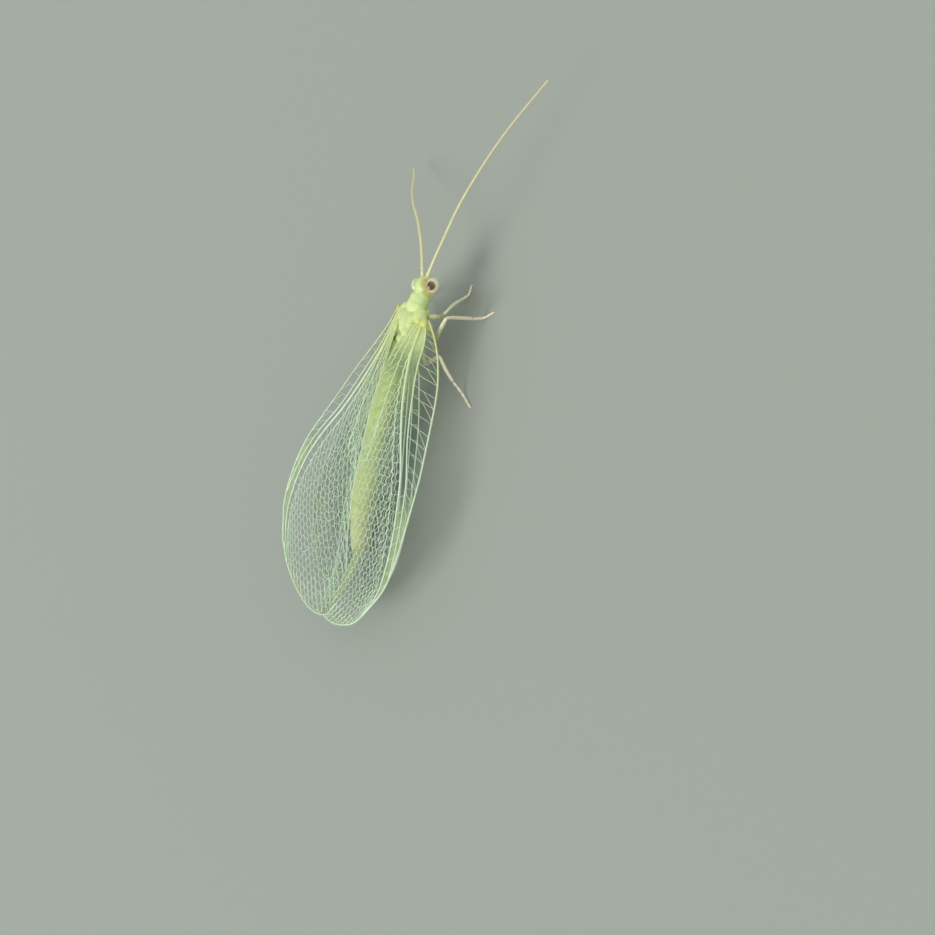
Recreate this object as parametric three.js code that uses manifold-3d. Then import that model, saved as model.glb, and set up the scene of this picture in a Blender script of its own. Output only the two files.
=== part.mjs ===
// A green lacewing at rest, life size, in millimetres: it faces +Y and stands on z = 0.
// Its wings lie flat over the back and slope down to their front edges at both sides.
import * as THREE from "three";
import { mergeVertices } from "three/addons/utils/BufferGeometryUtils.js";
import Module from "manifold-3d";

const wasm = await Module();
wasm.setup();

// Driving sizes
const smallGap = 0.12; // between the tiny parts of the head and body
const wingThickness = 0.5;
const wingRise = 0.13; // how far a wing's upper face lies above its heights
const veinHeight = 0.1; // how far a main vein stands out of the membrane
const crossHeight = 0.06; // the same for the veins that cross from one main vein to the next
const veinHalfWidth = 0.09;
const widestVeinShare = 0.028; // half a vein never takes more of a narrow wing's breadth than this
const abdomenRadius = 0.48;
const abdomenSegments = 8;
const eyeRadii = [0.2, 0.28, 0.28];
const headTurn = 18; // degrees that the head looks to the insect's left
const legSides = 8;
const sharpTurn = 1.2; // radians; a corner that turns more than this is cut off by a short stretch
const footHeight = 0.15; // axis of a foot above the ground, less than its radius so it rests flat

// Colours of each kind of part
const skinGreen = new THREE.MeshStandardMaterial({ color: 0xb9d86f, roughness: 0.5, metalness: 0 });
const eyeCopper = new THREE.MeshStandardMaterial({ color: 0xa8825c, roughness: 0.25, metalness: 0.2 });
const limbCream = new THREE.MeshStandardMaterial({ color: 0xd9d6ae, roughness: 0.55, metalness: 0 });
const wingGlass = new THREE.MeshStandardMaterial({ color: 0xc4dcb4, roughness: 0.2, metalness: 0 });

// The body's centre line, as heights at places along Y
const bodyLine = [
  [2.2, 1.8], [0, 1.87], [-1.5, 1.9], [-3.1, 1.83], [-5.5, 1.43],
  [-7.3, 1.12], [-8.6, 0.7], [-9.3, 0.45], [-9.8, 0.38],
];

// Straight interpolation in a list of [place, value] pairs whose places fall
function valueAt(pairs, place) {
  const last = pairs.length - 1;
  if (place >= pairs[0][0]) return pairs[0][1];
  if (place <= pairs[last][0]) return pairs[last][1];
  const i = pairs.findIndex((pair) => pair[0] < place);
  const [a, b] = [pairs[i - 1], pairs[i]];
  return a[1] + ((place - a[0]) / (b[0] - a[0])) * (b[1] - a[1]);
}

// A closed solid from a geometry whose shared corners are merged
function solidOf(geometry) {
  const bare = geometry.clone();
  bare.deleteAttribute("normal");
  bare.deleteAttribute("uv");
  const merged = mergeVertices(bare, 1e-5);
  const vertProperties = new Float32Array(merged.attributes.position.array);
  const triVerts = new Uint32Array(merged.index.array);
  return new wasm.Manifold(new wasm.Mesh({ numProp: 3, vertProperties, triVerts }));
}

// The largest closed surface of a solid, as a named mesh
function meshOf(name, solid, material) {
  const largest = solid.decompose().sort((a, b) => b.volume() - a.volume())[0];
  const data = largest.getMesh();
  const geometry = new THREE.BufferGeometry();
  geometry.setAttribute("position", new THREE.BufferAttribute(data.vertProperties, 3));
  geometry.setIndex(new THREE.BufferAttribute(data.triVerts, 1));
  geometry.computeVertexNormals();
  const mesh = new THREE.Mesh(geometry, material);
  mesh.name = name;
  return mesh;
}

// A lathe-turned rod carried along a path: ring i of the lathe goes to rings[i] = {at, wide, high}
// and lies in the plane that halves the corner there. The first ring's wide side is along sideways.
function rod(rings, sides, sideways = new THREE.Vector3(1, 0, 0)) {
  const last = rings.length - 1;
  const profile = [new THREE.Vector2(0, 0)];
  for (let i = 0; i <= last; i++) profile.push(new THREE.Vector2(1, i));
  profile.push(new THREE.Vector2(0, last));
  const geometry = new THREE.LatheGeometry(profile, sides);
  const stretches = rings.slice(1).map((ring, i) => ring.at.clone().sub(rings[i].at).normalize());
  let side = sideways.clone().addScaledVector(stretches[0], -sideways.dot(stretches[0])).normalize();
  const frames = rings.map((ring, i) => {
    const arriving = stretches[Math.max(i - 1, 0)];
    const leaving = stretches[Math.min(i, last - 1)];
    const up = new THREE.Vector3().crossVectors(side, arriving);
    const frame = { side: side.clone(), up, arriving, plane: arriving.clone().add(leaving).normalize() };
    side.applyQuaternion(new THREE.Quaternion().setFromUnitVectors(arriving, leaving));
    return frame;
  });
  const place = geometry.attributes.position;
  for (let i = 0; i < place.count; i++) {
    const k = Math.round(place.getY(i));
    const { side: across, up, arriving, plane } = frames[k];
    const out = across.clone().multiplyScalar(place.getX(i) * rings[k].wide);
    out.addScaledVector(up, place.getZ(i) * rings[k].high);
    out.addScaledVector(arriving, -out.dot(plane) / arriving.dot(plane));
    const spot = out.add(rings[k].at);
    place.setXYZ(i, spot.x, spot.y, spot.z);
  }
  return solidOf(geometry);
}

// Rings at the corners of a path of straight stretches; a sharp corner gets two, far enough
// apart that the rod's inner side doesn't cross itself
function cornerRings(spots, radii) {
  const points = spots.map((spot) => new THREE.Vector3(...spot));
  const rings = [];
  points.forEach((at, i) => {
    const [wide, high] = [radii[i], radii[i]];
    const back = i > 0 ? points[i - 1].clone().sub(at) : null;
    const forth = i < points.length - 1 ? points[i + 1].clone().sub(at) : null;
    const turn = back && forth ? Math.PI - back.angleTo(forth) : 0;
    if (turn < sharpTurn) {
      rings.push({ at, wide, high });
      return;
    }
    const cut = (wide * Math.tan(turn / 4) + 0.015) / Math.cos(turn / 2);
    rings.push({ at: at.clone().addScaledVector(back.normalize(), cut), wide, high });
    rings.push({ at: at.clone().addScaledVector(forth.normalize(), cut), wide, high });
  });
  return rings;
}

// Everything below the ground, to cut the feet and the tail's tip flat
function belowGround() {
  const block = new THREE.BoxGeometry(60, 60, 4);
  block.translate(0, 0, -2);
  return solidOf(block);
}

// A ball squeezed to three radii, turned about Z and moved into place
function ball(radii, at, turn = 0, detail = [16, 10]) {
  const geometry = new THREE.SphereGeometry(1, detail[0], detail[1]);
  geometry.rotateX(Math.PI / 2);
  geometry.scale(...radii);
  geometry.rotateZ(THREE.MathUtils.degToRad(turn));
  geometry.translate(...at);
  return solidOf(geometry);
}

// The head's own frame: across, ahead and up from the head's centre, turned with the head
const headCentre = new THREE.Vector3(0, 1.52, 1.82);
function onHead(across, ahead, up) {
  const turn = THREE.MathUtils.degToRad(headTurn);
  const spot = new THREE.Vector3(across, ahead, up).applyAxisAngle(new THREE.Vector3(0, 0, 1), turn);
  return spot.add(headCentre).toArray();
}

const eyeSpot = (side) => onHead(side * 0.44, 0.06, 0.06);

// Head: a rounded capsule, a face that slopes down to the mouth, jaws, feeler palps and a neck
function headSolid() {
  let head = ball([0.5, 0.42, 0.46], onHead(0, 0, 0), headTurn);
  const face = rod([
    { at: new THREE.Vector3(...onHead(0, 0.12, -0.05)), wide: 0.36, high: 0.28 },
    { at: new THREE.Vector3(...onHead(0, 0.3, -0.36)), wide: 0.3, high: 0.2 },
    { at: new THREE.Vector3(...onHead(0, 0.36, -0.6)), wide: 0.2, high: 0.13 },
  ], 10, new THREE.Vector3(1, 0.3, 0));
  head = head.add(face);
  for (const side of [-1, 1]) {
    head = head.add(ball([0.12, 0.13, 0.06], onHead(side * 0.15, 0.4, 0.14), headTurn, [10, 6]));
    const palp = [[0.16, 0.28, -0.42], [0.26, 0.42, -0.66], [0.22, 0.52, -0.9]];
    const spots = palp.map(([across, ahead, up]) => onHead(side * across, ahead, up));
    head = head.add(rod(cornerRings(spots, [0.07, 0.065, 0.045]), 6));
  }
  const mouth = new THREE.BoxGeometry(0.5, 0.16, 0.035);
  mouth.rotateX(-0.5);
  mouth.rotateZ(THREE.MathUtils.degToRad(headTurn));
  mouth.translate(...onHead(0, 0.47, -0.44));
  head = head.subtract(solidOf(mouth));
  const neck = rod([
    { at: new THREE.Vector3(0, 1.3, 1.78), wide: 0.3, high: 0.3 },
    { at: new THREE.Vector3(0, 1.08, 1.78), wide: 0.32, high: 0.32 },
  ], 12);
  head = head.add(neck);
  for (const side of [-1, 1]) {
    const socket = eyeRadii.map((radius) => radius + smallGap);
    head = head.subtract(ball(socket, eyeSpot(side), headTurn));
  }
  return head;
}

// A stretch of the body between two places along Y, as rings on the body's centre line
function bodyStretch(from, to, count, widthAt, heightAt, sides = 16) {
  const rings = [];
  for (let i = 0; i < count; i++) {
    const y = from + ((to - from) * i) / (count - 1);
    const share = i / (count - 1);
    const at = new THREE.Vector3(0, y, valueAt(bodyLine, y));
    rings.push({ at, wide: widthAt(share), high: heightAt(share) });
  }
  return rod(rings, sides);
}

const bulge = (share, low, high) => low + (high - low) * Math.sin(Math.PI * share) ** 0.6;

// Abdomen: eight segments, each a little wider at its middle than at its joints
const segmentSwell = (share) => 1 - 0.06 * Math.cos(Math.PI * abdomenSegments * share) ** 8;
const abdomenWaist = (share) => 0.86 + 0.14 * Math.min(1, share / 0.12);
const abdomenTaper = (share) => 1 - 0.16 * Math.max(0, share - 0.72) / 0.28;

// A leg: a round hip, then straight stretches from the hip over knee and ankle to the claws.
// The right ones are mirrored to the left, apart from two that are drawn in beside the thorax.
const legs = {
  fore: [
    [0.42, 0.62, 1.04], [1.08, 0.98, 1.42], [0.54, 1.46, 0.55],
    [0.4, 1.72, footHeight], [0.34, 2.02, footHeight],
  ],
  mid: [
    [0.5, -0.26, 0.94], [1.74, 0.9, 1.88], [1.55, 1.07, 0.5],
    [1.66, 1.22, footHeight], [2.0, 1.54, footHeight],
  ],
  hind: [
    [0.46, -1.26, 0.94], [1.31, -0.63, 1.2], [1.72, -1.42, 0.5],
    [2.1, -1.76, footHeight], [2.62, -2.0, footHeight],
  ],
};
const leftLegs = {
  fore: [
    [-0.42, 0.62, 1.04], [-1.2, 0.75, 1.3], [-1.6, 0.89, 0.5],
    [-1.76, 0.98, footHeight], [-2.04, 1.12, footHeight],
  ],
  mid: [
    [-0.5, -0.26, 0.94], [-2.0, 0.08, 1.1], [-2.45, 0.02, 0.5],
    [-2.6, -0.02, footHeight], [-2.88, -0.1, footHeight],
  ],
};
const hips = { fore: [0.4, 0.66, 1.06], mid: [0.44, -0.16, 0.99], hind: [0.41, -1.15, 1.0] };
const hipRadii = [0.23, 0.24, 0.28];
const legRadii = [0.19, 0.2, 0.2, 0.2, 0.17];

function legSolid(pair, side) {
  const mirrored = legs[pair].map(([x, y, z]) => [side * x, y, z]);
  const spots = side < 0 && leftLegs[pair] ? leftLegs[pair] : mirrored;
  const [x, y, z] = hips[pair];
  const hip = ball(hipRadii, [side * x, y, z], 0, [10, 6]);
  return rod(cornerRings(spots, legRadii), legSides).add(hip).subtract(belowGround());
}

// A feeler along a smooth curve, thinning to its tip
const feelers = {
  left: [
    [-0.38, 2.1, 2.05], [-1.06, 2.95, 2.02], [-1.93, 3.65, 1.85], [-2.93, 4.08, 1.5],
    [-3.77, 4.49, 1.1], [-4.65, 5.12, 0.65], [-5.25, 5.6, 0.36],
  ],
  right: [[0.16, 2.2, 2.09], [0.42, 3.18, 2.22], [0.75, 5.1, 2.25], [1.3, 7.5, 2.0], [2.1, 9.87, 1.6]],
};

function feelerSolid(name) {
  const curve = new THREE.CatmullRomCurve3(feelers[name].map((spot) => new THREE.Vector3(...spot)));
  const count = 22;
  const rings = curve.getSpacedPoints(count).map((at, i) => {
    const radius = 0.2 - 0.09 * (i / count);
    return { at, wide: radius, high: radius };
  });
  return rod(rings, 8);
}

// The wings' own surface: heights at the front edge, at the main veins and at the back edge
const foreHeights = {
  margin: [
    [0.4, 2.1], [-0.5, 1.8], [-1.2, 1.66], [-3, 1.65], [-5, 1.75],
    [-8, 1.85], [-10, 1.85], [-11.2, 1.7], [-12.4, 1.35],
  ],
  veins: [
    [0.4, 2.45], [-0.8, 2.6], [-2.4, 2.62], [-4.7, 2.42], [-7, 2.2],
    [-8.5, 2.08], [-10, 1.92], [-11.2, 1.7], [-12.4, 1.32],
  ],
  inner: [
    [0.4, 2.6], [-0.4, 2.9], [-1.2, 3.0], [-2.4, 2.95], [-4.7, 2.68],
    [-7, 2.3], [-8.5, 1.95], [-10, 1.5], [-12.4, 1.28],
  ],
};
const hindHeights = {
  margin: [[-1.3, 1.5], [-2.5, 1.38], [-5, 1.2], [-8, 1.0], [-10, 0.8], [-11.5, 0.64]],
  veins: [[-1.3, 1.6], [-2.5, 1.58], [-5, 1.38], [-8, 1.08], [-10, 0.82], [-11.5, 0.56]],
  inner: [[-1.3, 1.8], [-2.5, 1.85], [-5, 1.6], [-8, 1.02], [-10, 0.54], [-11.5, 0.42]],
};

// Front and back edges of each wing seen from above, from root to tip, on the right side
const midline = [[-8, 0], [-11, 0.3]]; // where the left and right wings meet, as X along Y
const foreEdges = {
  front: [
    [0.95, 0.25], [1.93, -1], [2.84, -3], [3.5, -5.4],
    [3.92, -7.8], [3.6, -9.8], [2.5, -11.45], [0.45, -12.4],
  ],
  back: [
    [0.72, -0.4], [0.22, -1.7], [0.19, -4], [0.19, -6.5],
    [0.19, -9], [0.19, -10.5], [0.2, -11.6], [0.22, -12.34],
  ],
};
const hindEdges = {
  front: [
    [1.05, -1.4], [1.5, -2.4], [2.15, -4], [2.8, -6],
    [3.1, -7.8], [2.85, -9.4], [2.1, -10.7], [1.15, -11.3],
  ],
  back: [
    [0.9, -1.8], [0.9, -2.8], [0.9, -4.4], [0.88, -6],
    [0.86, -7.6], [0.84, -9], [0.84, -10.4], [0.95, -11.28],
  ],
};

// Main veins from front to back edge, each at its share of the wing's breadth at root and tip
const foreVeins = [[0, 0], [0.3, 0.06], [0.4, 0.12], [0.52, 0.3], [0.66, 0.54], [0.82, 0.78], [1, 1]];
const hindVeins = [[0, 0], [0.2, 0.14], [0.45, 0.42], [0.7, 0.7], [1, 1]];

// Crest is where the steep front stretch ends, as a share of the breadth at root and tip
const foreWing = {
  edges: foreEdges,
  heights: foreHeights,
  veins: foreVeins,
  rows: 26,
  innerShift: 1,
  crest: [0.3, 0.12],
};
const hindWing = {
  edges: hindEdges,
  heights: hindHeights,
  veins: hindVeins,
  rows: 16,
  innerShift: 0,
  crest: [0.35, 0.2],
};

// Height of a wing's surface: it climbs steeply from the front edge to the main veins,
// then runs almost level to the back edge
function wingHeight(wing, share, along, y) {
  const edge = valueAt(wing.heights.margin, y);
  const veins = valueAt(wing.heights.veins, y);
  const inner = valueAt(wing.heights.inner, y);
  const crest = wing.crest[0] + (wing.crest[1] - wing.crest[0]) * along;
  if (share < crest) return edge + (veins - edge) * Math.sin((Math.PI / 2) * (share / crest));
  const rest = (share - crest) / (1 - crest);
  return veins + (inner - veins) * rest * rest * (3 - 2 * rest);
}

// A point of a wing's surface; along runs from root to tip, share from front to back edge
function wingPoint(wing, side, along, share) {
  const front = wing.frontCurve.getPoint(along);
  const back = wing.backCurve.getPoint(along);
  const y = front.y + (back.y - front.y) * share;
  let x = side * (front.x + (back.x - front.x) * share);
  x += wing.innerShift * share * valueAt(midline, y);
  return new THREE.Vector3(x, y, wingHeight(wing, share, along, y));
}

// The grid's columns on one row: a main vein is three columns, the middle one raised, and a
// field between two veins has one more, raised where a cross vein runs
function wingColumns(wing, along, row) {
  const breadth = wing.frontCurve.getPoint(along).distanceTo(wing.backCurve.getPoint(along));
  const half = Math.min(veinHalfWidth / breadth, widestVeinShare);
  const toTip = 1 - (1 - along) ** 2;
  const shares = wing.veins.map(([root, tip]) => root + (tip - root) * toTip);
  const columns = [];
  shares.forEach((share, k) => {
    const cross = (row + k) % 2 === 0 ? crossHeight : 0;
    const before = (row + k + 1) % 2 === 0 ? crossHeight : 0;
    if (k > 0) columns.push({ share: share - half, rise: before });
    columns.push({ share, rise: veinHeight });
    if (k === shares.length - 1) return;
    columns.push({ share: share + half, rise: cross });
    const next = shares[k + 1];
    if (wing.veins[k + 1][1] - wing.veins[k][1] > 0.15) {
      columns.push({ share: (share + next) / 2, rise: cross });
    }
  });
  return columns;
}

// A wing as a slab on a grid, its upper and lower faces split into the same triangles
function wingSolid(wing, side) {
  wing.frontCurve = new THREE.SplineCurve(wing.edges.front.map((spot) => new THREE.Vector2(...spot)));
  wing.backCurve = new THREE.SplineCurve(wing.edges.back.map((spot) => new THREE.Vector2(...spot)));
  const rows = wing.rows;
  const across = wingColumns(wing, 0, 0).length;
  const upper = [];
  const lower = [];
  for (let i = 0; i <= rows; i++) {
    const along = 1 - (1 - i / rows) ** 1.25;
    for (const { share, rise } of wingColumns(wing, along, i)) {
      const spot = wingPoint(wing, side, along, share);
      const step = 0.01;
      const fore = wingPoint(wing, side, Math.min(along + step, 1), share);
      const aft = wingPoint(wing, side, Math.max(along - step, 0), share);
      const inward = wingPoint(wing, side, along, Math.min(share + step, 1));
      const outward = wingPoint(wing, side, along, Math.max(share - step, 0));
      const normal = new THREE.Vector3().crossVectors(fore.sub(aft), inward.sub(outward)).normalize();
      if (normal.z < 0) normal.negate();
      upper.push(spot.clone().addScaledVector(normal, wingRise + rise));
      lower.push(spot.clone().addScaledVector(normal, wingRise - wingThickness));
    }
  }
  const corners = [...upper, ...lower].flatMap((spot) => spot.toArray());
  const offset = upper.length;
  const faces = [];
  const quad = (a, b, c, d) => faces.push(a, b, c, a, c, d);
  for (let i = 0; i < rows; i++) {
    for (let j = 0; j < across - 1; j++) {
      const a = i * across + j;
      const b = (i + 1) * across + j;
      const c = b + 1;
      const d = a + 1;
      quad(a, d, c, b);
      quad(a + offset, b + offset, c + offset, d + offset);
    }
  }
  for (let i = 0; i < rows; i++) {
    const a = i * across;
    const b = a + across;
    quad(a, b, b + offset, a + offset);
    const c = a + across - 1;
    const d = b + across - 1;
    quad(d, c, c + offset, d + offset);
  }
  for (let j = 0; j < across - 1; j++) {
    quad(j + 1, j, j + offset, j + 1 + offset);
    const k = rows * across + j;
    quad(k, k + 1, k + 1 + offset, k + offset);
  }
  if (side < 0) faces.reverse();
  const geometry = new THREE.BufferGeometry();
  geometry.setAttribute("position", new THREE.Float32BufferAttribute(corners, 3));
  geometry.setIndex(faces);
  return solidOf(geometry);
}

const insect = new THREE.Group();
insect.add(meshOf("head", headSolid(), skinGreen));
for (const [name, side] of [["left", -1], ["right", 1]]) {
  insect.add(meshOf("eye_" + name, ball(eyeRadii, eyeSpot(side), headTurn), eyeCopper));
  insect.add(meshOf("antenna_" + name, feelerSolid(name), limbCream));
  for (const pair of ["fore", "mid", "hind"]) {
    insect.add(meshOf("leg_" + pair + "_" + name, legSolid(pair, side), limbCream));
  }
  insect.add(meshOf("forewing_" + name, wingSolid(foreWing, side), wingGlass));
  insect.add(meshOf("hindwing_" + name, wingSolid(hindWing, side), wingGlass));
}
const prothorax = bodyStretch(0.96, 0.5, 7, (s) => bulge(s, 0.34, 0.42), (s) => bulge(s, 0.34, 0.4));
insect.add(meshOf("prothorax", prothorax, skinGreen));
const mesothorax = bodyStretch(0.38, -0.55, 9, (s) => bulge(s, 0.38, 0.56), (s) => bulge(s, 0.38, 0.56));
insect.add(meshOf("mesothorax", mesothorax, skinGreen));
const metathorax = bodyStretch(-0.67, -1.36, 8, (s) => bulge(s, 0.4, 0.52), (s) => bulge(s, 0.4, 0.52));
insect.add(meshOf("metathorax", metathorax, skinGreen));
const abdomenWidth = (s) => abdomenRadius * segmentSwell(s) * abdomenWaist(s) * abdomenTaper(s);
const abdomen = bodyStretch(-1.48, -9.0, 33, abdomenWidth, abdomenWidth, 12);
insect.add(meshOf("abdomen", abdomen, skinGreen));
const tail = bodyStretch(-9.12, -9.66, 6, (s) => 0.41 - 0.22 * s * s, (s) => 0.46 - 0.02 * s * s, 12);
insect.add(meshOf("tail_tip", tail.subtract(belowGround()), skinGreen));

// The part's origin is on the ground, below the middle of everything
const box = new THREE.Box3().setFromObject(insect);
const middle = box.getCenter(new THREE.Vector3());
insect.position.set(-middle.x, -middle.y, 0);
const group = new THREE.Group();
group.add(insect);

export default group;
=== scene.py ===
import math

import bpy
import numpy as np
from mathutils import Matrix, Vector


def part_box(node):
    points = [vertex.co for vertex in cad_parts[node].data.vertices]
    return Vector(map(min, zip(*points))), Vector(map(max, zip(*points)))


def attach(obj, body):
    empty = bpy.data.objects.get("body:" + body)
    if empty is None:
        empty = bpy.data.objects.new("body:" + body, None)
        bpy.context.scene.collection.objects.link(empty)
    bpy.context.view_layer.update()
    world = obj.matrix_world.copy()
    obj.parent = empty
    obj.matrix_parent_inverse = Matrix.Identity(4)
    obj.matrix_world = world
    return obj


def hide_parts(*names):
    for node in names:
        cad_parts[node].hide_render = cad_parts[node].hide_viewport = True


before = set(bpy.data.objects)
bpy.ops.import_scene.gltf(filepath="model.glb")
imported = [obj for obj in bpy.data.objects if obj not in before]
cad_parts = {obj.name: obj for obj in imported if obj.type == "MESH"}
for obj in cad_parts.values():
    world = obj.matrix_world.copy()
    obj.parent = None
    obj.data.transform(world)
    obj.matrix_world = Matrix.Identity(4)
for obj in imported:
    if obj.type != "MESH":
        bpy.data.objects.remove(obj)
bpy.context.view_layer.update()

print("frame loaded:", len(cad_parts), "nodes")

# Everything below is worked out in the insect's own millimetres: X to its right, Y to its head,
# Z up, with 0 on the floor under the thorax. toPart puts such points into the part's frame.
mm = 0.001
headPlace = {"centre": (0.0, 1.52, 1.82), "turn": 18.0, "eye": (0.44, 0.06, 0.06)}


def onHead(spots):
    # (across, ahead, up) seen from the head, turned about Z by the head's turn, plus its centre
    turn = math.radians(headPlace["turn"])
    across, ahead, up = np.moveaxis(np.asarray(spots, float), -1, 0)
    turned = np.stack([across * math.cos(turn) - ahead * math.sin(turn),
                       across * math.sin(turn) + ahead * math.cos(turn), up], -1)
    return turned + headPlace["centre"]


def boxMiddle(node):
    # Middle of a node's box in millimetres: half the sum of its two corners
    lowest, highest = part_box(node)
    return np.array([(a + b) / 2 for a, b in zip(lowest, highest)]) / mm


# The two eyes' boxes say where the insect's own zero lies in the part's frame
eyeRight = onHead(headPlace["eye"])
eyeLeft = onHead(np.array(headPlace["eye"]) * (-1, 1, 1))
insectShift = (boxMiddle("eye_right") + boxMiddle("eye_left")) / 2 - (eyeRight + eyeLeft) / 2
insectShift[2] = 0.0


def toPart(points):
    # The insect's millimetres in the part's metres: plus the insect's shift, times 0.001
    return (np.asarray(points) + insectShift) * mm


# Mesh helpers

def unit(vectors):
    # Each vector divided by its length
    return vectors / np.maximum(np.linalg.norm(vectors, axis=-1, keepdims=True), 1e-12)


def splineAt(stops, share):
    # Smooth curve through the stops, share 0 to 1: Catmull-Rom, each stop's slope is half the way
    # from the stop before it to the stop after it
    stops = np.asarray(stops, float)
    place = np.clip(np.asarray(share, float), 0, 1) * (len(stops) - 1)
    k = np.clip(np.floor(place).astype(int), 0, len(stops) - 2)
    t = (place - k)[..., None]
    before, a, b, after = (stops[np.clip(k + i, 0, len(stops) - 1)] for i in (-1, 0, 1, 2))
    slopeA, slopeB = (b - before) / 2, (after - a) / 2
    bend = (2 * a - 2 * b + slopeA + slopeB) * t + (3 * b - 3 * a - 2 * slopeA - slopeB)
    return bend * t ** 2 + slopeA * t + a


def smoothValue(pairs, place):
    # Value at a place in [place, value] pairs: cubic steps whose slopes are the pairs' own
    places, values = np.asarray(sorted(pairs), float).T
    slopes = np.gradient(values, places)
    place = np.clip(place, places[0], places[-1])
    k = np.clip(np.searchsorted(places, place) - 1, 0, len(places) - 2)
    width = places[k + 1] - places[k]
    t = (place - places[k]) / width
    start = (1 + 2 * t) * (1 - t) ** 2 * values[k] + t * (1 - t) ** 2 * width * slopes[k]
    end = t ** 2 * (3 - 2 * t) * values[k + 1] + t ** 2 * (t - 1) * width * slopes[k + 1]
    return start + end


def gridFaces(rows, columns, closed=False, first=0):
    # Quads between neighbouring rows and columns of a grid; closed joins the last column to the first
    last = columns if closed else columns - 1
    i, j = np.meshgrid(np.arange(rows - 1) * columns, np.arange(last), indexing="ij")
    k = (j + 1) % columns
    return first + np.stack([i + j, i + k, i + columns + k, i + columns + j], -1).reshape(-1, 4)


def ringFaces(rings, sides):
    # Quads between closed rings, and triangles from the end rings to the two points that follow them
    j = np.arange(sides)
    k = (j + 1) % sides
    last = (rings - 1) * sides
    start = np.stack([k, j, np.full(sides, rings * sides)], -1)
    end = np.stack([last + j, last + k, np.full(sides, rings * sides + 1)], -1)
    return gridFaces(rings, sides, closed=True), np.concatenate([start, end])


def squareTo(ahead, up, angle):
    # Directions square to one ahead: side cos(angle) + over sin(angle), where side is ahead x up
    # and over is side x ahead
    side = unit(np.cross(ahead, up))
    return side * np.cos(angle)[:, None] + np.cross(side, ahead) * np.sin(angle)[:, None]


def manyTubes(paths, radii, up, sides):
    # One tube for each path: a circle of the path's radius, square to the path, whose first corner
    # lies along path direction x up. A point at each end closes the tube.
    paths = np.asarray(paths, float)
    tubes, steps = paths.shape[:2]
    ahead = unit(np.gradient(paths, axis=1))[:, :, None]
    up = np.broadcast_to(up, paths.shape)[:, :, None]
    ring = squareTo(ahead, up, np.linspace(0, 2 * math.pi, sides, endpoint=False))
    radii = np.broadcast_to(radii, (tubes, steps))[..., None, None]
    rings = (paths[:, :, None] + radii * ring).reshape(tubes, steps * sides, 3)
    points = np.concatenate([rings, paths[:, :1], paths[:, -1:]], 1)
    offset = (np.arange(tubes) * points.shape[1])[:, None, None]
    quads, triangles = (faces[:, ::-1] + offset for faces in ringFaces(steps, sides))
    return points.reshape(-1, 3), quads.reshape(-1, 4), triangles.reshape(-1, 3)


def joined(parts):
    # Several (points, quads, triangles) as one
    points, quads, triangles, first = [], [], [], 0
    for p, q, t in parts:
        points.append(p)
        quads.append(q + first)
        triangles.append(t + first)
        first += len(p)
    return np.concatenate(points), np.concatenate(quads), np.concatenate(triangles)


def meshOf(name, shape):
    # A smooth-shaded mesh of (points, quads, triangles)
    points, quads, triangles = shape
    mesh = bpy.data.meshes.new(name)
    mesh.from_pydata(points.tolist(), [], quads.tolist() + triangles.tolist())
    mesh.polygons.foreach_set("use_smooth", np.ones(len(mesh.polygons), bool))
    return mesh


def addObject(name, data):
    # A new object in the scene
    thing = bpy.data.objects.new(name, data)
    bpy.context.scene.collection.objects.link(thing)
    return thing


def addPiece(name, shape, material, nodes=()):
    # A shape in the insect's millimetres as a piece of the part
    piece = addObject(name, meshOf(name, (toPart(shape[0]), *shape[1:])))
    piece.data.materials.append(material)
    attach(piece, "root")
    if nodes:
        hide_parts(*nodes)
    return piece


# Material helpers

def linear(red, green, blue):
    # A colour given as seen on screen, 0 to 255, as the shader's own linear numbers
    seen = np.array([red, green, blue]) / 255
    return (*np.where(seen < 0.04045, seen / 12.92, ((seen + 0.055) / 1.055) ** 2.4), 1.0)


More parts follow.
